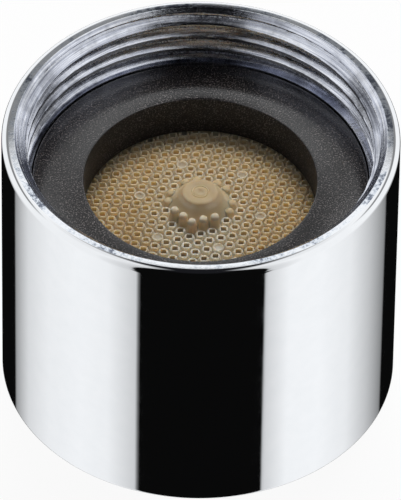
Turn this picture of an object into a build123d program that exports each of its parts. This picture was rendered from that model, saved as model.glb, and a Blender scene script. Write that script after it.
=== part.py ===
from build123d import *
import math
import os

# Tap aerator with a female thread, standing on its outlet end. Millimetres, +Z towards the tap.
# The origin is the middle of the outlet face of the housing.

# Housing, turned from brass
housing_diameter = 24.0
housing_height = 19.1
rim_chamfer = 0.5
foot_chamfer = 0.2
thread_wall = 1.0
thread_pitch = 1.0
mouth_countersink = 0.7
shoulder_above_washer = 0.1
pocket_step = 0.25
ledge_height = 9.8
ledge_width = 0.8

# Insert body, moulded sleeve that hangs on the housing's ledge
insert_clearance = 0.1
insert_flange_thickness = 1.0
air_gap = 0.7
sleeve_wall = 1.0
sleeve_recess = 0.6
window_count = 4
window_width = 6.0
window_height = 2.2
window_below_flange = 0.6
grid_thickness = 2.0
grid_rim = 0.4
grid_rings = 2
grid_web = 0.4

# Jet plate, clamped between the insert body and the strainer
jet_plate_thickness = 0.9
jet_count = 10
jet_length = 1.2
jet_width = 0.6
jet_inset = 1.1

# Strainer, a domed sieve that lies on the jet plate under the washer
strainer_thickness = 0.9
dome_rise = 0.82
dome_clearance = 0.05
dome_sides = 12
dome_shoulder_diameter = 8.8
hub_base_diameter = 3.7
hub_top_diameter = 2.28
hub_height = 0.9
hole_pitch = 0.7227
hole_width = 0.36
hole_turn = 17.5
hole_border = 1.15
blank_ring = 3

# Sealing washer
washer_bore = 14.06
washer_thickness = 2.75
washer_clearance = 0.05

# Sizes that follow from those above
thread_diameter = housing_diameter - 2 * thread_wall
thread_bore_radius = (thread_diameter - 1.0825 * thread_pitch) / 2
pocket_radius = thread_bore_radius - pocket_step
ledge_bore_radius = pocket_radius - ledge_width
insert_radius = pocket_radius - insert_clearance
sleeve_radius = ledge_bore_radius - air_gap
sleeve_bore_radius = sleeve_radius - sleeve_wall
grid_pitch = (sleeve_bore_radius - grid_rim + grid_web / math.sqrt(3)) / (grid_rings + 1 / math.sqrt(3))
grid_cell = grid_pitch - grid_web
insert_top = ledge_height + insert_flange_thickness
jet_plate_top = insert_top + jet_plate_thickness
strainer_top = jet_plate_top + strainer_thickness
washer_top = strainer_top + washer_thickness
shoulder_height = washer_top + shoulder_above_washer
dome_radius = washer_bore / 2 - dome_clearance
dome_curve = (dome_radius**2 + dome_rise**2) / (2 * dome_rise)


def hex_points(pitch, turn, inner, outer):
    """Points of a hexagonal lattice about the axis, from the inner to the outer radius."""
    reach = math.ceil(outer / pitch * 2 / math.sqrt(3))
    points = []
    for i in range(-reach, reach + 1):
        for j in range(-reach, reach + 1):
            point = Vector(i + j / 2, j * math.sqrt(3) / 2).rotate(Axis.Z, turn) * pitch
            if inner <= round(point.length, 6) <= round(outer, 6):
                points.append(point)
    return points


def dome_lift(radius):
    """Height of the dome above its foot at a radius."""
    return dome_rise - dome_curve + math.sqrt(dome_curve**2 - radius**2)


os.makedirs("parts", exist_ok=True)

# Housing: one turned section with mouth, thread bore, insert pocket and ledge
with BuildPart() as housing:
    with BuildSketch(Plane.XZ):
        with BuildLine():
            Polyline(
                (ledge_bore_radius, 0),
                (housing_diameter / 2, 0),
                (housing_diameter / 2, housing_height),
                (thread_bore_radius + mouth_countersink, housing_height),
                (thread_bore_radius, housing_height - mouth_countersink),
                (thread_bore_radius, shoulder_height),
                (pocket_radius, shoulder_height),
                (pocket_radius, ledge_height),
                (ledge_bore_radius, ledge_height),
                close=True,
            )
        make_face()
    revolve(axis=Axis.Z)
    outer_edges = housing.edges().filter_by(GeomType.CIRCLE).group_by(SortBy.RADIUS)[-1]
    chamfer(outer_edges.sort_by(Axis.Z)[-1], length=rim_chamfer)
    outer_edges = housing.edges().filter_by(GeomType.CIRCLE).group_by(SortBy.RADIUS)[-1]
    chamfer(outer_edges.sort_by(Axis.Z)[0], length=foot_chamfer)
housing.part.label = "housing"
export_step(housing.part, "parts/housing.step")

# Insert body: flanged sleeve with air windows under the flange and a honeycomb across its outlet
with BuildPart() as insert_body:
    with BuildSketch(Plane.XZ):
        with BuildLine():
            Polyline(
                (sleeve_bore_radius, sleeve_recess),
                (sleeve_radius, sleeve_recess),
                (sleeve_radius, ledge_height),
                (insert_radius, ledge_height),
                (insert_radius, insert_top),
                (sleeve_bore_radius, insert_top),
                close=True,
            )
        make_face()
    revolve(axis=Axis.Z)
    with BuildSketch(Plane.XY.offset(sleeve_recess)):
        Circle(sleeve_bore_radius)
        with Locations(hex_points(grid_pitch, 0, 0, grid_rings * grid_pitch)):
            RegularPolygon(grid_cell / 2, 6, major_radius=False, rotation=30, mode=Mode.SUBTRACT)
    extrude(amount=grid_thickness)
    window_top = ledge_height - window_below_flange
    with BuildSketch(Plane.XY.offset(window_top - window_height)):
        with PolarLocations(sleeve_bore_radius + sleeve_wall / 2, window_count):
            Rectangle(3 * sleeve_wall, window_width)
    extrude(amount=window_height, mode=Mode.SUBTRACT)
insert_body.part.label = "insert_body"
export_step(insert_body.part, "parts/insert_body.step")

# Jet plate: disc with a ring of radial jets that break the water up
with BuildPart() as jet_plate:
    with BuildSketch(Plane.XY.offset(insert_top)):
        Circle(insert_radius)
        with PolarLocations(sleeve_bore_radius - jet_inset, jet_count):
            Rectangle(jet_length, jet_width, mode=Mode.SUBTRACT)
    extrude(amount=jet_plate_thickness)
jet_plate.part.label = "jet_plate"
export_step(jet_plate.part, "parts/jet_plate.step")

# Strainer: flange and dome of flat facets with a hub, pierced on a hexagonal lattice that leaves out
# the places under the hub and six blanks
with BuildPart() as strainer_dome:
    with BuildSketch(Plane.XY.offset(jet_plate_top)):
        Circle(insert_radius)
    extrude(amount=strainer_thickness)
    facet_turn = hole_turn + 180 / dome_sides
    dome_rings = (dome_radius, dome_shoulder_diameter / 2, hub_base_diameter / 2)
    for base, mode in ((strainer_top, Mode.ADD), (jet_plate_top, Mode.SUBTRACT)):
        for lower_ring, upper_ring in zip(dome_rings, dome_rings[1:]):
            with BuildSketch(Plane.XY.offset(base + dome_lift(lower_ring))):
                RegularPolygon(lower_ring, dome_sides, rotation=facet_turn)
            with BuildSketch(Plane.XY.offset(base + dome_lift(upper_ring))):
                RegularPolygon(upper_ring, dome_sides, rotation=facet_turn)
            loft(ruled=True, mode=mode)
    blank_reach = blank_ring * math.sqrt(3) * hole_pitch
    blanks = [Vector(blank_reach, 0).rotate(Axis.Z, hole_turn + 30 + 60 * k) for k in range(6)]
    hub_reach = hub_base_diameter / 2 + hole_width / 2
    lattice = hex_points(hole_pitch, hole_turn, hub_reach, dome_radius - hole_border)
    holes = [p for p in lattice if min((p - b).length for b in blanks) > hole_pitch / 2]
    with BuildSketch(Plane.XY.offset(jet_plate_top)):
        with Locations(holes):
            Rectangle(hole_width, hole_width, rotation=hole_turn)
    extrude(amount=strainer_thickness + dome_rise, mode=Mode.SUBTRACT)
    hub_foot = strainer_top + dome_lift(hub_base_diameter / 2)
    with BuildSketch(Plane.XY.offset(hub_foot)):
        RegularPolygon(hub_base_diameter / 2, dome_sides, rotation=facet_turn)
    with BuildSketch(Plane.XY.offset(strainer_top + dome_rise + hub_height)):
        RegularPolygon(hub_top_diameter / 2, dome_sides, rotation=facet_turn)
    loft(ruled=True)
strainer_dome.part.label = "strainer_dome"
export_step(strainer_dome.part, "parts/strainer_dome.step")

# Sealing washer: plain rubber ring on the strainer's flange
with BuildPart() as sealing_washer:
    with BuildSketch(Plane.XY.offset(strainer_top)):
        Circle(pocket_radius - washer_clearance)
        Circle(washer_bore / 2, mode=Mode.SUBTRACT)
    extrude(amount=washer_thickness)
sealing_washer.part.label = "sealing_washer"
export_step(sealing_washer.part, "parts/sealing_washer.step")
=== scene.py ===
import math

import bmesh
import bpy
from mathutils import Matrix, Vector


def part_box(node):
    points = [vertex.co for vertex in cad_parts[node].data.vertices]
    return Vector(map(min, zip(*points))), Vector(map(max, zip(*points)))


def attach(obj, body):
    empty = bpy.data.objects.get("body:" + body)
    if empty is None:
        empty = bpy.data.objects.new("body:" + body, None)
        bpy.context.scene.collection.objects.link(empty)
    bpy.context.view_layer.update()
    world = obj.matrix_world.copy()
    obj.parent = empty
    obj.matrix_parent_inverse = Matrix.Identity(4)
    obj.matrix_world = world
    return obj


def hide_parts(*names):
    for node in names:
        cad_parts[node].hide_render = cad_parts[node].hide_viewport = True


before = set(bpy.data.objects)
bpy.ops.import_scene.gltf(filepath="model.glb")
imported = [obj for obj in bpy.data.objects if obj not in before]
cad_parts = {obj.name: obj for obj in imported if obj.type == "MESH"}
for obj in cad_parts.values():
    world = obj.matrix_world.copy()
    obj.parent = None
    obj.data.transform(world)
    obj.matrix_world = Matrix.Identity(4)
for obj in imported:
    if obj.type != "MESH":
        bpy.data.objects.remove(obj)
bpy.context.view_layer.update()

# Sizes in metres, taken from the frame where the frame has them
MM = 0.001
_, housing_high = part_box("housing")
washer_low, washer_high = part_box("sealing_washer")
strainer_low, strainer_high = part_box("strainer_dome")
HOUSING_R = housing_high[0]
HOUSING_TOP = housing_high[2]
WASHER_R = washer_high[0]
WASHER_TOP = washer_high[2]
WASHER_BOTTOM = washer_low[2]
STRAINER_R = strainer_high[0]
STRAINER_BOTTOM = strainer_low[2]
HUB_TOP = strainer_high[2]

# Housing section
RIM_ROUND = 0.45 * MM
RIM_FALL = 0.02 * MM
RIM_STEP = 0.01 * MM
FOOT_ROUND = 0.12 * MM
FOOT_BEVEL = 0.1 * MM
WALL_GUARD = 0.05 * MM
COUNTERSINK = 0.77 * MM
SHOULDER_Z = WASHER_TOP + 0.1 * MM
POCKET_R = WASHER_R + 0.05 * MM
LEDGE_Z = 9.8 * MM
LEDGE_BORE_R = POCKET_R - 0.8 * MM

# Thread: crest and flank are shares of half a turn
THREAD_PITCH = 1.0 * MM
THREAD_ROOT_R = 11.0 * MM
THREAD_CREST_R = 10.459 * MM
THREAD_CREST_AT_BACK = 18.25 * MM
CREST_SHARE = 0.25
FLANK_SHARE = 0.625

# Washer
WASHER_BORE_R = 7.03 * MM
WASHER_EDGE = 0.12 * MM

# Strainer: dome, lattice, and the span in degrees from the front that holds posts
DOME_R = 6.98 * MM
DOME_RISE = 0.82 * MM
FLANGE_R = DOME_R + 0.12 * MM
FLANGE_TOP = WASHER_BOTTOM - 0.02 * MM
HOLE_PITCH = 0.7227 * MM
HOLE_TURN = math.radians(17.5)
SQUARE_TURN = math.radians(15)
HOLE_REACH = 7.3 * MM
BLANK_R = 3 * math.sqrt(3) * HOLE_PITCH
BLANK_SLACK = 0.05 * MM
BLANK_SLACK_ANGLE = 0.05
POST_RING = (2.5 * HOLE_PITCH, 3.2 * HOLE_PITCH)
POST_SPAN = (-60, 40)
CORNER_R = 2.9 * HOLE_PITCH
WELD = 0.002 * MM

# Hub: its side is (radius, height above the foot), its face is (radius, height above the top)
HUB_BASE_R = 1.85 * MM
HUB_TOP_R = 1.14 * MM
HUB_ROUND = 0.2 * MM
HUB_RING_R = 0.485 * MM
HUB_SIDE = [
    (HUB_BASE_R + 0.1 * MM, -0.25 * MM),
    (HUB_BASE_R, 0.0),
    (1.62 * MM, 0.22 * MM),
    (1.42 * MM, 0.5 * MM),
    (1.28 * MM, 0.74 * MM),
]
HUB_FACE = [
    (HUB_TOP_R - 0.26 * MM, 0.0),
    (HUB_RING_R + 0.12 * MM, 0.0),
    (HUB_RING_R + 0.06 * MM, -0.03 * MM),
    (HUB_RING_R + 0.02 * MM, 0.03 * MM),
    (HUB_RING_R - 0.02 * MM, 0.03 * MM),
    (HUB_RING_R - 0.06 * MM, -0.03 * MM),
    (HUB_RING_R - 0.12 * MM, 0.0),
    (0.2 * MM, 0.0),
    (0.12 * MM, -0.05 * MM),
    (0.05 * MM, -0.06 * MM),
]

# Tiles of the strainer: rings of (kind, radius, height above the dome, material of the faces up to it)
# Material slots; the tip slot holds a painted highlight, and the hub and bore slots carry a painted glow
BODY, TIP_HIGHLIGHT, BORE, HUB = 0, 1, 2, 3
GROOVE = -0.26 * MM
UNDERSIDE = -0.9 * MM
FOOT = [
    ("edge", 1.0, GROOVE, BODY),
    ("edge", 0.93, GROOVE + 0.05 * MM, BODY),
]
HOLE = FOOT + [
    ("round", 0.31 * MM, -0.1 * MM, BODY),
    ("round", 0.295 * MM, -0.03 * MM, BODY),
    ("round", 0.255 * MM, 0.0, BODY),
    ("square", 0.178 * MM, 0.0, BODY),
    ("square", 0.16 * MM, -0.04 * MM, BODY),
    ("square", 0.15 * MM, UNDERSIDE, BORE),
    ("edge", 1.0, UNDERSIDE, BODY),
]
# A post's tip takes the tip slot: a painted highlight on its cap
POST = FOOT + [
    ("round", 0.305 * MM, 0.0, HUB),
    ("round", 0.275 * MM, 0.38 * MM, HUB),
    ("round", 0.255 * MM, 0.5 * MM, TIP_HIGHLIGHT),
    ("round", 0.2 * MM, 0.59 * MM, TIP_HIGHLIGHT),
    ("round", 0.1 * MM, 0.63 * MM, TIP_HIGHLIGHT),
]
NUB = FOOT + [
    ("round", 0.3 * MM, 0.0, HUB),
    ("round", 0.27 * MM, 0.1 * MM, HUB),
    ("round", 0.2 * MM, 0.17 * MM, HUB),
    ("round", 0.1 * MM, 0.2 * MM, HUB),
]
# A blank disc's ring just inside its rim takes the tip slot: a painted highlight ring
BLANK = FOOT[:1] + [
    ("round", 0.345 * MM, -0.1 * MM, BODY),
    ("round", 0.325 * MM, -0.04 * MM, BODY),
    ("round", 0.29 * MM, -0.03 * MM, TIP_HIGHLIGHT),
    ("round", 0.25 * MM, -0.1 * MM, TIP_HIGHLIGHT),
    ("round", 0.12 * MM, -0.14 * MM, BODY),
]

# Zone from the hub to the front with a painted colour: a paler, greyer painted sheen on the strainer's
# plastic and a darker painted shade inside its holes; reach to the sides and along
PAINTED_FRONT_SHARE = 0.75
PAINTED_FRONT_ASIDE = (1.2 * MM, 3.9 * MM)
PAINTED_FRONT_ALONG = (-1.0 * MM, 4.5 * MM)
PAINTED_FRONT_AT_BACK = 0.1

# Depths of the relief in the materials
FINE_RELIEF = 0.02 * MM
GRAIN_RELIEF = 0.03 * MM
RIPPLE_RELIEF = 0.2 * MM
GLOW_DEPTH = 0.6 * MM

# What the chrome mirrors: greys by direction in degrees from the front, below and above the horizon
COOL = (0.955, 0.977, 1.0)
DARK = (0.01, 0.01, 0.012)
BLACK = 0.003
SURROUND_R = 2.0
SURROUND_ROWS = 24
LOW_STRIPES = [
    (-180, BLACK),
    (-136, BLACK),
    (-134.5, 0.33),
    (-118, 0.75),
    (-98, 0.92),
    (-72, 0.98),
    (-54, 0.94),
    (-36, 0.65),
    (-34.8, BLACK),
    (38.3, BLACK),
    (39.5, 0.68),
    (54, 0.98),
    (75, 1.0),
    (98, 0.9),
    (118, 0.58),
    (136, 0.25),
    (137.5, BLACK),
]
HIGH_STRIPES = [
    (-180, 1.0),
    (-54, 0.94),
    (-34, 0.65),
    (-32.5, BLACK),
    (34, BLACK),
    (35.5, 0.68),
    (54, 0.98),
    (180, 1.0),
]

# Bands of the surround by elevation in degrees, and by place as shares of its radius
HORIZON_BAND = (-28, -20)
BACK_GAP = (30, 34)
BACK_CARD = (43, 46)
BACK_TOP = (54, 58)
FRONT_TOP = (50, 60)
BEHIND = (0.1 * SURROUND_R, 0.3 * SURROUND_R)
BEFORE = (-0.35 * SURROUND_R, -0.2 * SURROUND_R)
TOP_ASIDE = (0.1 * SURROUND_R, 0.25 * SURROUND_R)
TOP_AT_SIDES = 0.08
GAP_ASIDE = (0.02 * SURROUND_R, 0.045 * SURROUND_R)
GAP_AT_SIDES = 0.76

# Lamps: name, azimuth and elevation in degrees, distance and size in metres, power in watts
LAMPS = [
    ("key", 8, 54, 0.5, 0.3, 2.3),
    ("overhead", 180, 78, 0.6, 0.4, 0.38),
]
SKY = (0.95, 0.97, 1.0)
SKY_STRENGTH = 0.06

# Floor
FLOOR_HALF = 3.0
FLOOR_DROP = 0.02 * MM
FLOOR_GREY = 0.94
FLOOR_WHITE_SHARE = 0.93

# Camera
EYE = Vector((0, -420.2, 419.4)) * MM
AIM = Vector((0.07, 0, 9.37)) * MM
ROLL = math.radians(0.833)
LENS = 695.6
SENSOR = 36.0
CLIP_END = 10.0

# Mesh fineness
TURN_STEPS = 320
THREAD_ROWS = 180
CELL_STEPS = 24


def dome_z(radius):
    """Height of the strainer's dome at a radius."""
    curve = (DOME_R**2 + DOME_RISE**2) / (2 * DOME_RISE)
    return WASHER_BOTTOM + DOME_RISE - curve + math.sqrt(curve**2 - radius**2)


def arc(centre, radius, start, end, steps):
    """Points of an arc in a section, from a start to an end angle in degrees."""
    points = []
    for k in range(steps + 1):
        a = math.radians(start + (end - start) * k / steps)
        points.append((centre[0] + radius * math.cos(a), centre[1] + radius * math.sin(a)))
    return points


def new_piece(name, bm, materials, smooth_angle=40):
    """A mesh object from a bmesh, shaded smooth but for its sharp edges, riding on the part."""
    bmesh.ops.recalc_face_normals(bm, faces=bm.faces)
    mesh = bpy.data.meshes.new(name)
    bm.to_mesh(mesh)
    bm.free()
    for coat in materials:
        mesh.materials.append(coat)
    mesh.polygons.foreach_set("use_smooth", [True] * len(mesh.polygons))
    mesh.set_sharp_from_angle(angle=math.radians(smooth_angle))
    piece = bpy.data.objects.new(name, mesh)
    bpy.context.scene.collection.objects.link(piece)
    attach(piece, "root")
    return piece


def turned(bm, rows, slots=None, closed=True):
    """Faces between rows of points round the axis. A row is a function of the angle that gives (r, z)."""
    rings = []
    for row in rows:
        ring = []
        for k in range(TURN_STEPS):
            a = 2 * math.pi * k / TURN_STEPS
            r, z = row(a)
            ring.append(bm.verts.new((r * math.cos(a), r * math.sin(a), z)))
        rings.append(ring)
    pairs = list(zip(rings, rings[1:]))
    if closed:
        pairs.append((rings[-1], rings[0]))
    for index, (low, high) in enumerate(pairs):
        for k in range(TURN_STEPS):
            n = (k + 1) % TURN_STEPS
            face = bm.faces.new((low[k], low[n], high[n], high[k]))
            face.material_index = slots[index] if slots else 0
    return rings


def fixed(point):
    """A row at the same radius and height all round."""
    return lambda angle: point


def thread_r(angle, z):
    """Radius of the right-hand internal thread, a 60 degree form with flats at crest and root."""
    turn = (z - THREAD_CREST_AT_BACK) / THREAD_PITCH - (angle - math.pi / 2) / (2 * math.pi)
    u = abs((turn + 0.5) % 1.0 - 0.5) * 2
    rise = min(max((u - CREST_SHARE) / FLANK_SHARE, 0.0), 1.0)
    return THREAD_CREST_R + (THREAD_ROOT_R - THREAD_CREST_R) * rise


# Node helpers for materials
def node_maker(tree):
    """A function that adds a node to a tree, with its inputs set or linked."""

    def socket_of(added, key):
        if isinstance(key, str):
            return next(i for i in added.inputs if i.name == key and i.enabled)
        return added.inputs[key]

    def node(kind, inputs=None, **settings):
        added = tree.nodes.new(kind)
        for key, value in settings.items():
            setattr(added, key, value)
        for key, value in (inputs or {}).items():
            socket = socket_of(added, key)
            if isinstance(value, bpy.types.NodeSocket):
                tree.links.new(value, socket)
            else:
                socket.default_value = value
        return added

    return node


def material(name):
    """A new node material, its principled shader, its node maker and a function that links to the shader."""
    made = bpy.data.materials.new(name)
    made.use_nodes = True
    tree = made.node_tree
    shader = tree.nodes["Principled BSDF"]

    def link(socket, name_in):
        tree.links.new(socket, shader.inputs[name_in])

    return made, shader, node_maker(tree), link


def ramp(node, value, stops):
    """A colour ramp over a value, from (position, grey or colour) stops."""
    made = node("ShaderNodeValToRGB", {"Fac": value})
    elements = made.color_ramp.elements
    while len(elements) < len(stops):
        elements.new(0.5)
    for element, (position, colour) in zip(elements, stops):
        element.position = position
        element.color = (colour,) * 3 + (1,) if isinstance(colour, (int, float)) else (*colour, 1)
    return made.outputs["Color"]


def noise(node, place, scale, detail, roughness=0.5):
    """Noise over a place, from 0 to 1."""
    inputs = {"Vector": place, "Scale": scale, "Detail": detail, "Roughness": roughness}
    return node("ShaderNodeTexNoise", inputs).outputs["Fac"]


def calc(node, operation, *values, **settings):
    """The result of a math node over its values."""
    return node("ShaderNodeMath", dict(enumerate(values)), operation=operation, **settings).outputs[0]


def mapped(node, value, span, at_start=0.0, at_end=1.0):
    """A value that goes from one level to another over a span, and keeps to them outside it."""
    inputs = {"Value": value, "From Min": span[0], "From Max": span[1], "To Min": at_start, "To Max": at_end}
    return node("ShaderNodeMapRange", inputs).outputs[0]


def mixed(node, share, first, second, blend="MIX"):
    """A mix of two colours by a share of the second one."""
    inputs = {"Factor": share, "A": first, "B": second}
    return node("ShaderNodeMix", inputs, data_type="RGBA", blend_type=blend).outputs["Result"]


def split(node, vector):
    """The X, Y and Z of a vector."""
    return node("ShaderNodeSeparateXYZ", {"Vector": vector}).outputs


def bumped(node, height, strength, depth):
    """A normal with relief."""
    inputs = {"Height": height, "Strength": strength, "Distance": depth}
    return node("ShaderNodeBump", inputs).outputs["Normal"]


def chrome_material():
    """Polished chrome plate with faint haze and a slight ripple."""
    made, shader, node, link = material("polished_chrome")
    place = node("ShaderNodeTexCoord").outputs["Object"]
    haze = noise(node, place, 900.0, 4.0)
    link(ramp(node, haze, [(0.35, 0.02), (0.75, 0.06)]), "Roughness")
    link(ramp(node, haze, [(0.3, (0.915, 0.918, 0.925)), (0.7, (0.94, 0.94, 0.945))]), "Base Color")
    ripple = noise(node, place, 220.0, 2.0)
    link(bumped(node, ripple, 0.01, RIPPLE_RELIEF), "Normal")
    shader.inputs["Metallic"].default_value = 1.0
    return made


def edge_material():
    """The turned face of the rim, with small nicks and dark specks in the plating."""
    made, shader, node, link = material("nicked_rim")
    place = node("ShaderNodeTexCoord").outputs["Object"]
    nick = noise(node, place, 3200.0, 5.0, 0.7)
    patch = noise(node, place, 500.0, 2.0)
    half = calc(node, "MULTIPLY", calc(node, "ADD", nick, patch), 0.5)
    plating = [(0.4, (0.2, 0.22, 0.27)), (0.46, (0.72, 0.76, 0.82)), (0.55, (0.93, 0.94, 0.96))]
    link(ramp(node, half, plating), "Base Color")
    link(ramp(node, nick, [(0.35, 0.13), (0.6, 0.035)]), "Roughness")
    link(bumped(node, nick, 0.12, FINE_RELIEF), "Normal")
    shader.inputs["Metallic"].default_value = 1.0
    return made


def painted_glint_lines(node, around, height):
    """Painted glints: pale lines along the helix, two to a turn, at the crest's lower edge and high on the
    flank above.
    """
    turns = calc(node, "MULTIPLY", height, 1 / THREAD_PITCH)
    lead = calc(node, "MULTIPLY_ADD", around, -1 / (2 * math.pi), turns)
    back_turn = 0.25
    phase = calc(node, "ADD", lead, back_turn - THREAD_CREST_AT_BACK / THREAD_PITCH)
    place_in_half_turn = calc(node, "WRAP", phase, 1.0, 0.5)
    return ramp(node, place_in_half_turn, [(0.5, 0.05), (0.85, 0), (0.88, 0.7), (0.92, 0)])


def thread_material():
    """Dull turned metal, streaked round the bore, with worn patches, flecks and painted glint lines along the
    thread.
    """
    made, shader, node, link = material("turned_thread")
    place = node("ShaderNodeTexCoord").outputs["Object"]
    parts = split(node, place)
    around = calc(node, "ARCTAN2", parts["Y"], parts["X"])
    unrolled = node("ShaderNodeCombineXYZ", {"X": around, "Y": parts["Z"]}).outputs[0]
    long_scale = node("ShaderNodeMapping", {"Vector": unrolled, "Scale": (1.2, 9000.0, 1.0)}).outputs[0]
    streak = noise(node, long_scale, 1.0, 5.0, 0.75)
    short_scale = node("ShaderNodeMapping", {"Vector": unrolled, "Scale": (60.0, 7000.0, 1.0)}).outputs[0]
    fleck = noise(node, short_scale, 1.0, 4.0, 0.7)
    patch = noise(node, place, 330.0, 5.0, 0.65)
    broken = ramp(node, fleck, [(0.45, 0.25), (0.6, 1.0)])
    # Painted glints: along the helix lines the metal's colour is paled towards white
    glint_share = calc(node, "MULTIPLY", painted_glint_lines(node, around, parts["Z"]), broken)
    greys = [(0.36, (0.2, 0.21, 0.25)), (0.48, (0.58, 0.6, 0.68)), (0.61, (0.92, 0.93, 0.98))]
    metal = ramp(node, streak, greys)
    worn = ramp(node, patch, [(0.38, 0.6), (0.52, 1.0)])
    tint = mixed(node, 1.0, metal, worn, "MULTIPLY")
    link(mixed(node, glint_share, tint, (0.97, 0.97, 0.98, 1)), "Base Color")
    half = calc(node, "MULTIPLY", calc(node, "ADD", patch, fleck), 0.5)
    matt = calc(node, "MAXIMUM", ramp(node, half, [(0.42, 0.08), (0.6, 0.24)]), glint_share)
    link(calc(node, "MINIMUM", matt, 0.5), "Roughness")
    relief = calc(node, "MULTIPLY_ADD", fleck, 0.25, streak)
    link(bumped(node, relief, 0.55, FINE_RELIEF), "Normal")
    shader.inputs["Metallic"].default_value = 1.0
    return made


def rubber_material():
    """Black rubber with pale specks and faint turning marks, glossy on its face and dull in its bore."""
    made, _, node, link = material("black_rubber")
    coords = node("ShaderNodeTexCoord").outputs
    place = coords["Object"]
    parts = split(node, place)
    flat = node("ShaderNodeCombineXYZ", {"X": parts["X"], "Y": parts["Y"]}).outputs[0]
    far = node("ShaderNodeVectorMath", {0: flat}, operation="LENGTH").outputs["Value"]
    marks = {"W": far, "Scale": 9000.0, "Detail": 3.0}
    ring = node("ShaderNodeTexNoise", marks, noise_dimensions="1D").outputs["Fac"]
    speck = noise(node, place, 11000.0, 2.0)
    cloud = noise(node, place, 260.0, 5.0)
    specks = [(0.44, (0.008, 0.0073, 0.0072)), (0.57, (0.04, 0.0365, 0.0355)), (0.68, (0.2, 0.18, 0.175))]
    dust = ramp(node, speck, specks)
    shade = ramp(node, cloud, [(0.36, (0.5, 0.48, 0.48)), (0.62, (1.0, 0.98, 0.98))])
    link(mixed(node, 1.0, dust, shade, "MULTIPLY"), "Base Color")
    upward = split(node, coords["Normal"])["Z"]
    link(ramp(node, upward, [(0.3, 0.6), (0.9, 0.17)]), "Roughness")
    link(ramp(node, upward, [(0.3, 0.4), (0.9, 1.0)]), "Specular IOR Level")
    link(bumped(node, calc(node, "ADD", speck, ring), 0.2, FINE_RELIEF), "Normal")
    return made


def painted_front_mask(node, place):
    """The share of the painted front colour, sheen on the body and shade in the holes, which is greatest in
    front of the hub.
    """
    parts = split(node, place)
    aside = calc(node, "ABSOLUTE", parts["X"])
    across = mapped(node, aside, PAINTED_FRONT_ASIDE, PAINTED_FRONT_SHARE, 0.0)
    along = mapped(node, parts["Y"], PAINTED_FRONT_ALONG, 1.0, PAINTED_FRONT_AT_BACK)
    return calc(node, "MULTIPLY", across, along)


def clear_plastic(name, dark, light, wall_glow, clear=None, rough=(0.26, 0.42), specular=0.25):
    """Translucent plastic, uneven between two colours, with a paler colour on its steep walls for a painted
    glow through them, and a painted colour in front of the hub: sheen on the strainer, shade in its holes.
    """
    made, shader, node, link = material(name)
    coords = node("ShaderNodeTexCoord").outputs
    cloud = noise(node, coords["Object"], 500.0, 3.0)
    grain = noise(node, coords["Object"], 6000.0, 2.0)
    body = ramp(node, cloud, [(0.3, dark), (0.7, light)])
    upward = split(node, coords["Normal"])["Z"]
    # Painted glow: steep faces, the thin walls, take a paler colour for light passing through them
    wall_glow_share = ramp(node, upward, [(0.3, 1.0), (0.95, 0.0)])
    shade = mixed(node, wall_glow_share, body, (*wall_glow, 1))
    # The clear colour is painted in front of the hub: a sheen on the body, a shade in the holes
    if clear:
        shade = mixed(node, painted_front_mask(node, coords["Object"]), shade, (*clear, 1))
    link(shade, "Base Color")
    link(ramp(node, grain, [(0.3, rough[0]), (0.7, rough[1])]), "Roughness")
    link(bumped(node, grain, 0.15, FINE_RELIEF), "Normal")
    shader.inputs["Subsurface Weight"].default_value = 1.0
    shader.inputs["Subsurface Radius"].default_value = (1.0, 0.8, 0.6)
    shader.inputs["Subsurface Scale"].default_value = GLOW_DEPTH
    shader.inputs["Specular IOR Level"].default_value = specular
    return made


def strainer_material():
    """Honey-coloured plastic of the strainer, with a painted glow on its steep walls and a painted sheen in
    front of the hub.
    """
    return clear_plastic(
        "amber_plastic",
        dark=(0.37, 0.292, 0.188),
        light=(0.45, 0.364, 0.242),
        # Painted glow on the steep walls
        wall_glow=(0.56, 0.465, 0.335),
        # Painted sheen: a paler, greyer colour in front of the hub
        clear=(0.66, 0.615, 0.52),
    )


def tip_highlight_material():
    """Plastic of the post tips and of a ring in the blank discs, painted pale and whitish: a painted
    highlight on them.
    """
    return clear_plastic(
        "painted_tip_highlight",
        dark=(0.52, 0.455, 0.35),
        light=(0.62, 0.55, 0.435),
        wall_glow=(0.58, 0.51, 0.4),
        rough=(0.13, 0.24),
        specular=0.5,
    )


def hub_material():
    """The thicker plastic of the hub, painted paler than the strainer for the light that it holds: a painted
    glow.
    """
    return clear_plastic(
        "amber_hub",
        dark=(0.5, 0.385, 0.23),
        light=(0.58, 0.455, 0.28),
        wall_glow=(0.72, 0.58, 0.385),
        rough=(0.13, 0.24),
        specular=0.5,
    )


def bore_material():
    """The warmer plastic inside the holes, which is darker in the clear zone."""
    # Plastic inside the holes, painted warmer and paler than the body for a glow of light through the thin
    # walls, and painted darker in front of the hub for the shade in the holes.
    return clear_plastic(
        "amber_bore",
        # Painted glow: bore colours paler and warmer than the body's
        dark=(0.56, 0.44, 0.27),
        light=(0.66, 0.53, 0.335),
        wall_glow=(0.61, 0.485, 0.3),
        # Painted shade: a darker colour inside the holes in front of the hub
        clear=(0.34, 0.31, 0.26),
    )


def insert_material():
    """Off-white moulded plastic with a fine grain."""
    made, _, node, link = material("white_plastic")
    place = node("ShaderNodeTexCoord").outputs["Object"]
    grain = noise(node, place, 2500.0, 4.0)
    link(ramp(node, grain, [(0.3, (0.70, 0.69, 0.64)), (0.7, (0.80, 0.79, 0.75))]), "Base Color")
    link(ramp(node, grain, [(0.3, 0.38), (0.7, 0.55)]), "Roughness")
    link(bumped(node, grain, 0.2, GRAIN_RELIEF), "Normal")
    return made


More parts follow.
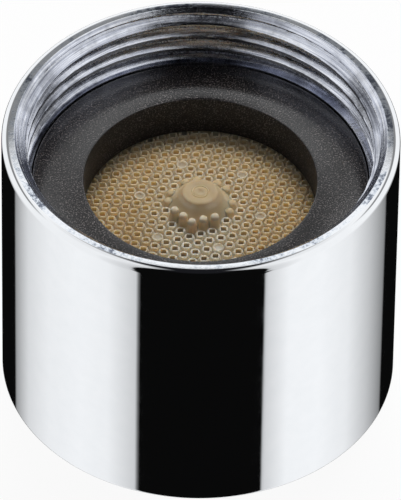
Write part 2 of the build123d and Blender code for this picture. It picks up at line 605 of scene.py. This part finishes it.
def make_housing():
    """The housing, with chrome outside, a turned rim and a cut thread inside."""
    chrome, cut, rim = 0, 1, 2
    bm = bmesh.new()
    mouth_r = THREAD_CREST_R + COUNTERSINK
    outer = [(LEDGE_BORE_R + FOOT_BEVEL, 0)]
    outer += arc((HOUSING_R - FOOT_ROUND, FOOT_ROUND), FOOT_ROUND, -90, 0, 4)
    rim_start = HOUSING_TOP - RIM_FALL - RIM_ROUND
    outer += [(HOUSING_R, FOOT_ROUND + WALL_GUARD), (HOUSING_R, rim_start - WALL_GUARD)]
    outer += arc((HOUSING_R - RIM_ROUND, rim_start), RIM_ROUND, 0, 87, 10)
    land = (mouth_r + RIM_STEP, HOUSING_TOP)
    rows = [fixed(point) for point in outer + [land]]
    slots = [chrome] * (len(outer) - 1) + [rim, rim]
    thread_top = HOUSING_TOP - RIM_STEP
    for k in range(THREAD_ROWS + 1):
        z = thread_top + (SHOULDER_Z - thread_top) * k / THREAD_ROWS

        def row(angle, z=z):
            cone = mouth_r - (HOUSING_TOP - z)
            return max(thread_r(angle, z), cone), z

        rows.append(row)
    slots += [cut] * THREAD_ROWS
    inner = [(POCKET_R, SHOULDER_Z), (POCKET_R, LEDGE_Z), (LEDGE_BORE_R, LEDGE_Z), (LEDGE_BORE_R, FOOT_BEVEL)]
    rows += [fixed(point) for point in inner]
    slots += [cut] * (len(inner) + 1)
    turned(bm, rows, slots)
    coats = [chrome_material(), thread_material(), edge_material()]
    piece = new_piece("housing_shell", bm, coats, smooth_angle=24)
    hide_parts("housing")


def make_washer():
    """The rubber ring, with slightly rounded edges."""
    bm = bmesh.new()
    inner_r = WASHER_BORE_R + WASHER_EDGE
    outer_r = WASHER_R - WASHER_EDGE
    top = WASHER_TOP - WASHER_EDGE
    bottom = WASHER_BOTTOM + WASHER_EDGE
    section = arc((inner_r, top), WASHER_EDGE, 180, 90, 3)
    section += arc((outer_r, top), WASHER_EDGE, 90, 0, 3)
    section += arc((outer_r, bottom), WASHER_EDGE, 0, -90, 3)
    section += arc((inner_r, bottom), WASHER_EDGE, -90, -180, 3)
    turned(bm, [fixed(point) for point in section])
    piece = new_piece("washer_ring", bm, [rubber_material()])
    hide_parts("sealing_washer")


# Strainer: a hexagonal tile for each place of the lattice, with a tube, a blank disc, a post or a nub
def lattice():
    """Places of the hexagonal lattice under the mouth of the washer."""
    reach = math.ceil(HOLE_REACH / HOLE_PITCH * 2 / math.sqrt(3))
    cos_turn = math.cos(HOLE_TURN)
    sin_turn = math.sin(HOLE_TURN)
    for i in range(-reach, reach + 1):
        for j in range(-reach, reach + 1):
            x = (i + j / 2) * HOLE_PITCH
            y = j * math.sqrt(3) / 2 * HOLE_PITCH
            if math.hypot(x, y) < HOLE_REACH:
                yield x * cos_turn - y * sin_turn, x * sin_turn + y * cos_turn


def tile_edge(angle):
    """Distance from a tile's centre to its edge."""
    flat = HOLE_PITCH / 2
    part = (angle - HOLE_TURN + math.pi / 6) % (math.pi / 3) - math.pi / 6
    return flat / math.cos(part)


def ring_points(x, y, kind, radius, height):
    """Points of one ring of a tile. The radius of an "edge" ring is a share of the way to the tile's edge."""
    centre_z = dome_z(min(math.hypot(x, y), DOME_R))
    for k in range(CELL_STEPS):
        a = 2 * math.pi * k / CELL_STEPS
        a += SQUARE_TURN if kind == "square" else HOLE_TURN
        if kind == "edge":
            r = tile_edge(a) * radius
        elif kind == "square":
            r = radius / max(abs(math.cos(a)), abs(math.sin(a)))
        else:
            r = radius
        px = x + r * math.cos(a)
        py = y + r * math.sin(a)
        base = dome_z(min(math.hypot(px, py), DOME_R)) if kind == "edge" else centre_z
        yield px, py, base + height


def add_tile(bm, x, y, steps):
    """The rings of a tile and the faces between them. Gives back the last ring."""
    rings = [[bm.verts.new(point) for point in ring_points(x, y, *step[:3])] for step in steps]
    for low, high, step in zip(rings, rings[1:], steps[1:]):
        for k in range(CELL_STEPS):
            n = (k + 1) % CELL_STEPS
            bm.faces.new((low[k], low[n], high[n], high[k])).material_index = step[3]
    return rings[-1]


def is_blank(x, y):
    """True at the six lattice places that hold a blank disc."""
    part = (math.atan2(y, x) - HOLE_TURN - math.pi / 6) % (math.pi / 3)
    in_line = min(part, math.pi / 3 - part) < BLANK_SLACK_ANGLE
    return in_line and abs(math.hypot(x, y) - BLANK_R) < BLANK_SLACK


def is_post(x, y):
    """True at the lattice places in front of the hub that hold a post, if they are not under the hub."""
    from_front = math.degrees(math.atan2(x, -y))
    return math.hypot(x, y) < POST_RING[1] and POST_SPAN[0] < from_front < POST_SPAN[1]


def add_flange(bm):
    """The ring under the washer that carries the dome."""
    section = [
        (FLANGE_R, FLANGE_TOP),
        (STRAINER_R, FLANGE_TOP),
        (STRAINER_R, STRAINER_BOTTOM),
        (FLANGE_R, STRAINER_BOTTOM),
    ]
    turned(bm, [fixed(point) for point in section])


def add_hub(bm):
    """The hub in the middle, with a moulded ring on its flat top."""
    foot = dome_z(HUB_BASE_R)
    section = [(r, foot + height) for r, height in HUB_SIDE]
    section += arc((HUB_TOP_R - HUB_ROUND, HUB_TOP - HUB_ROUND), HUB_ROUND, 20, 90, 6)
    section += [(r, HUB_TOP + height) for r, height in HUB_FACE]
    rings = turned(bm, [fixed(point) for point in section], [HUB] * len(section), closed=False)
    bm.faces.new(rings[-1]).material_index = HUB


def make_strainer():
    """The strainer: its tiles, its flange and its hub."""
    bm = bmesh.new()
    for x, y in lattice():
        r = math.hypot(x, y)
        blank = is_blank(x, y)
        post = is_post(x, y)
        if r > CORNER_R and not blank and not post:
            add_tile(bm, x, y, HOLE)
            continue
        bm.faces.new([bm.verts.new(point) for point in ring_points(x, y, "edge", 1.0, UNDERSIDE)])
        if r <= POST_RING[0]:
            continue
        if blank:
            steps, coat = BLANK, BODY
        elif post:
            steps, coat = POST, TIP_HIGHLIGHT
        else:
            steps, coat = NUB, HUB
        bm.faces.new(add_tile(bm, x, y, steps)).material_index = coat
    bmesh.ops.remove_doubles(bm, verts=bm.verts, dist=WELD)
    add_flange(bm)
    add_hub(bm)
    coats = [strainer_material(), tip_highlight_material(), bore_material(), hub_material()]
    piece = new_piece("strainer_sieve", bm, coats, smooth_angle=50)
    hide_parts("strainer_dome")


def coat_insert():
    """One plastic for the two solids of the insert, which show as they are."""
    plastic = insert_material()
    for name in ("jet_plate", "insert_body"):
        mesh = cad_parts[name].data
        mesh.materials.clear()
        mesh.materials.append(plastic)


# Stage: floor, surround, lights and camera
def stage_object(name, bm, coat):
    """A mesh object that is only part of the stage."""
    mesh = bpy.data.meshes.new(name)
    bm.to_mesh(mesh)
    bm.free()
    mesh.materials.append(coat)
    made = bpy.data.objects.new(name, mesh)
    bpy.context.scene.collection.objects.link(made)
    return made


def floor_material():
    """Pale floor that glows white where it is seen, but still shows some of the shadow."""
    made, shader, node, _ = material("pale_floor")
    tree = made.node_tree
    shader.inputs["Base Color"].default_value = (FLOOR_GREY, FLOOR_GREY, FLOOR_GREY, 1)
    shader.inputs["Roughness"].default_value = 0.9
    shader.inputs["Specular IOR Level"].default_value = 0.0
    glow = node("ShaderNodeEmission", {"Strength": 1.0})
    path = node("ShaderNodeLightPath").outputs
    mirrored = calc(node, "ADD", path["Is Glossy Ray"], path["Is Transmission Ray"], use_clamp=True)
    seen = calc(node, "ADD", path["Is Camera Ray"], mirrored, use_clamp=True)
    share = calc(node, "MULTIPLY", seen, FLOOR_WHITE_SHARE)
    mix = node("ShaderNodeMixShader", {0: share, 1: shader.outputs[0], 2: glow.outputs[0]})
    tree.links.new(mix.outputs[0], tree.nodes["Material Output"].inputs["Surface"])
    return made


def make_floor():
    """A plain floor just under the housing."""
    bm = bmesh.new()
    half = FLOOR_HALF
    corners = [(-half, -half, 0), (half, -half, 0), (half, half, 0), (-half, half, 0)]
    bm.faces.new([bm.verts.new(corner) for corner in corners])
    floor = stage_object("floor", bm, floor_material())
    floor.location.z = -FLOOR_DROP
    floor.visible_glossy = False


def surround_material():
    """Glow of the surround: white sides, a dark front, a dark low back and dark bands high up."""
    made = bpy.data.materials.new("surround_glow")
    made.use_nodes = True
    tree = made.node_tree
    node = node_maker(tree)
    tree.nodes.remove(tree.nodes["Principled BSDF"])
    parts = split(node, node("ShaderNodeTexCoord").outputs["Object"])
    front = calc(node, "MULTIPLY", parts["Y"], -1.0)
    angle = calc(node, "ARCTAN2", parts["X"], front)
    share = mapped(node, angle, (-math.pi, math.pi))
    low = ramp(node, share, [((degrees + 180) / 360, grey) for degrees, grey in LOW_STRIPES])
    high = ramp(node, share, [((degrees + 180) / 360, grey) for degrees, grey in HIGH_STRIPES])

    def rising(span):
        """From 0 to 1 over a span of elevation in degrees."""
        heights = [SURROUND_R * math.sin(math.radians(degrees)) for degrees in span]
        return mapped(node, parts["Z"], heights)

    sides = mixed(node, rising(HORIZON_BAND), low, high)
    aside = calc(node, "ABSOLUTE", parts["X"])
    narrow = mapped(node, aside, TOP_ASIDE, 1.0, TOP_AT_SIDES)
    gap = calc(node, "SUBTRACT", rising(BACK_GAP), rising(BACK_CARD))
    gap = calc(node, "MULTIPLY", gap, mapped(node, aside, GAP_ASIDE, 1.0, GAP_AT_SIDES))
    above = calc(node, "MULTIPLY_ADD", rising(BACK_TOP), narrow, gap)
    back = calc(node, "MULTIPLY", above, mapped(node, parts["Y"], BEHIND))
    top = calc(node, "MULTIPLY", rising(FRONT_TOP), narrow)
    dark = calc(node, "MULTIPLY_ADD", top, mapped(node, front, BEFORE), back)
    lit = mixed(node, dark, sides, (*DARK, 1))
    glow = node("ShaderNodeEmission", {"Color": mixed(node, 1.0, lit, (*COOL, 1), "MULTIPLY")})
    tree.links.new(glow.outputs[0], tree.nodes["Material Output"].inputs["Surface"])
    return made


def make_surround():
    """A large globe that only glossy surfaces see."""
    bm = bmesh.new()
    rows = arc((0, 0), SURROUND_R, -89.9, 89.9, SURROUND_ROWS)
    turned(bm, [fixed(point) for point in rows], closed=False)
    globe = stage_object("surround", bm, surround_material())
    for kind in ("camera", "diffuse", "transmission", "volume_scatter", "shadow"):
        setattr(globe, f"visible_{kind}", False)


def add_area(name, azimuth, elevation, distance, size, power):
    """A square soft light that looks at the mouth. Azimuth 0 is behind the object, 90 to its right."""
    data = bpy.data.lights.new(name, "AREA")
    data.size = size
    data.energy = power
    lamp = bpy.data.objects.new(name, data)
    bpy.context.scene.collection.objects.link(lamp)
    a = math.radians(azimuth)
    e = math.radians(elevation)
    away = Vector((math.sin(a) * math.cos(e), math.cos(a) * math.cos(e), math.sin(e)))
    lamp.location = Vector((0, 0, WASHER_TOP)) + away * distance
    lamp.rotation_euler = away.to_track_quat("Z", "Y").to_euler()
    lamp.visible_glossy = False


def make_lights():
    """The lamps and a faint sky."""
    for lamp in LAMPS:
        add_area(*lamp)
    world = bpy.data.worlds.new("studio")
    bpy.context.scene.world = world
    world.use_nodes = True
    background = world.node_tree.nodes["Background"]
    background.inputs["Color"].default_value = (*SKY, 1)
    background.inputs["Strength"].default_value = SKY_STRENGTH


def make_camera():
    """The photograph's view: high in front, with a long lens and a slight roll."""
    data = bpy.data.cameras.new("camera")
    data.sensor_fit = "VERTICAL"
    data.sensor_height = SENSOR
    data.lens = LENS
    data.clip_end = CLIP_END
    camera = bpy.data.objects.new("camera", data)
    bpy.context.scene.collection.objects.link(camera)
    look = (AIM - EYE).to_track_quat("-Z", "Y").to_matrix().to_4x4()
    camera.matrix_world = Matrix.Translation(EYE) @ look @ Matrix.Rotation(ROLL, 4, "Z")
    bpy.context.scene.camera = camera


make_housing()
make_washer()
make_strainer()
coat_insert()
make_floor()
make_surround()
make_lights()
make_camera()
bpy.context.scene.view_settings.view_transform = "Standard"
